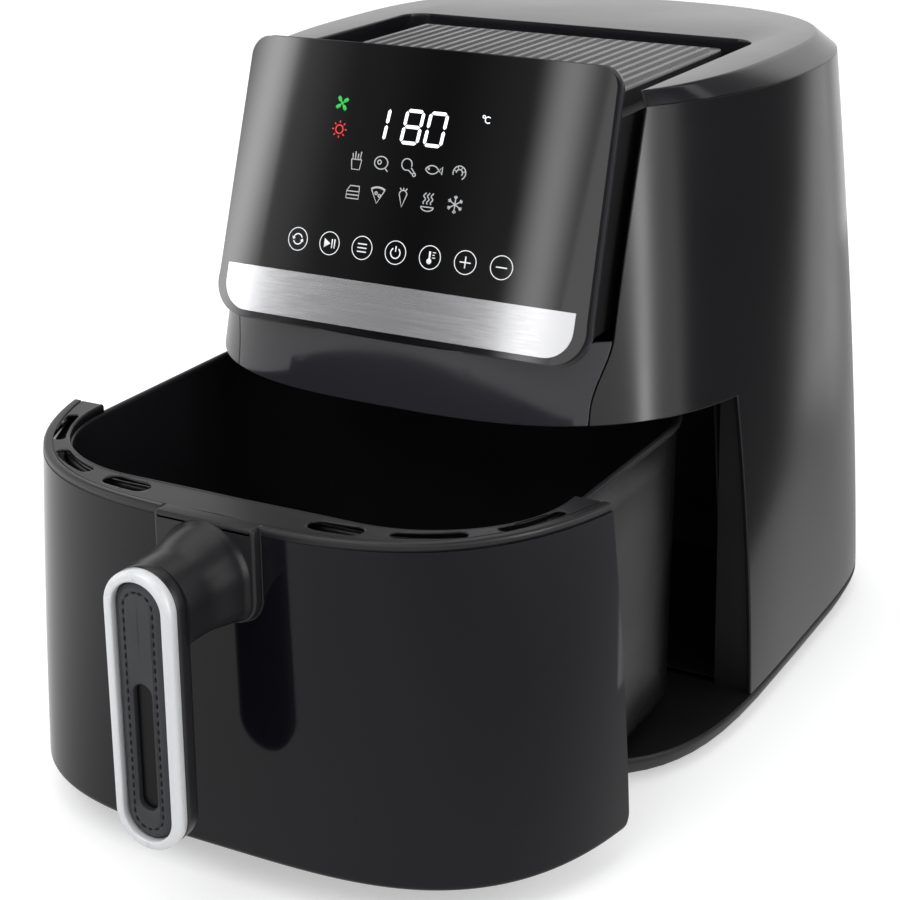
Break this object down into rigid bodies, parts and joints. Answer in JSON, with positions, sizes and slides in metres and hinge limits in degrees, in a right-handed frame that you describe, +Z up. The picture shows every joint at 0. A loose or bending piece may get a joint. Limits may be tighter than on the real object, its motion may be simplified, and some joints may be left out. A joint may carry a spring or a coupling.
{
  "type": "air fryer",
  "caption": "Tall rounded dark air fryer with a leaning glossy touch panel, a steel band, a ribbed top and a pull-out drawer with a long stadium handle.",
  "frame": {"origin": "under the middle of the part's overall box, on the plane its rubber feet stand on", "axes": "+Z up, -Y towards the front where the drawer pulls out, +X to the right of someone standing behind it and looking out past the drawer"},
  "size_m": [0.322, 0.574, 0.357],
  "materials": {
    "rubber": "matt",
    "black_plastic": "fine satin",
    "shell_plastic": "satin gloss",
    "rim_plastic": "satin",
    "panel_plastic": "satin ribs",
    "glossy_black": "high gloss",
    "grey_trim": "satin",
    "steel": "brushed",
    "board": "solder mask",
    "coated_metal": "non-stick coating",
    "wire_chrome": "plated wire",
    "element_metal": "heat-tinted tube",
    "zinc": "plated sheet",
    "mat": "glass-fibre felt",
    "ceramic": "ceramic",
    "red_plastic": "satin",
    "shaft_steel": "ground",
    "fan_alu": "stamped sheet",
    "ring_silver": "satin silver",
    "insert_leather": "fine grain",
    "slot_black": "dark",
    "foot_silicone": "soft"
  },
  "bodies": {
    "housing": {"rubber_feet": "rubber", "base_tray": "black_plastic", "outer_shell": "shell_plastic", "top_rim": "rim_plastic", "top_tray": "rim_plastic", "ribbed_panel": "panel_plastic", "front_fascia": "shell_plastic", "plate_carrier": "black_plastic", "plate_frame": "grey_trim", "control_plate": "glossy_black", "steel_strip": "steel", "display_module": "glossy_black", "touch_board": "board", "front_bulkhead": "black_plastic", "mouth_frame": "black_plastic", "mouth_ceiling": "black_plastic", "cavity_liner": "coated_metal", "drawer_rails": "coated_metal", "heater_guard": "wire_chrome", "heating_element": "element_metal", "element_clips": "steel", "motor_bracket": "zinc", "motor": "zinc", "insulation_mat": "mat", "power_board": "board", "thermal_cutout": "ceramic", "temperature_probe": "steel", "exhaust_duct": "zinc", "rear_grille": "black_plastic", "cord_inlet": "black_plastic", "switch_bracket": "zinc", "drawer_switch": "black_plastic", "housing_screws": "steel"},
    "fan": {"motor_shaft": "shaft_steel", "air_fan": "fan_alu", "cooling_fan": "black_plastic", "fan_nut": "steel"},
    "plunger": {"switch_plunger": "red_plastic"},
    "drawer": {"pan": "coated_metal", "drawer_front": "shell_plastic", "drawer_rim": "rim_plastic", "front_braces": "black_plastic", "handle_bracket": "shell_plastic", "handle_arm": "rim_plastic", "handle_ring": "ring_silver", "handle_insert": "insert_leather", "handle_slot": "slot_black", "handle_screws": "steel"},
    "crisper": {"crisper_plate": "coated_metal", "crisper_feet": "foot_silicone"}
  },
  "joints": [
    {"name": "drawer_slide", "type": "slide", "parent": "housing", "child": "drawer", "axis": [0, -1, 0], "range_m": [-0.155, 0.15]},
    {"name": "crisper_lift", "type": "slide", "parent": "drawer", "child": "crisper", "axis": [0, 0, 1], "range_m": [0, 0.06]},
    {"name": "fan_spin", "type": "hinge", "parent": "housing", "child": "fan", "pos_m": [0, 0.07247, 0.25], "axis": [0, 0, 1], "continuous": true},
    {"name": "switch_push", "type": "slide", "parent": "housing", "child": "plunger", "axis": [0, 1, 0], "range_m": [0, 0.003], "stiffness_N_per_m": 200}
  ]
}
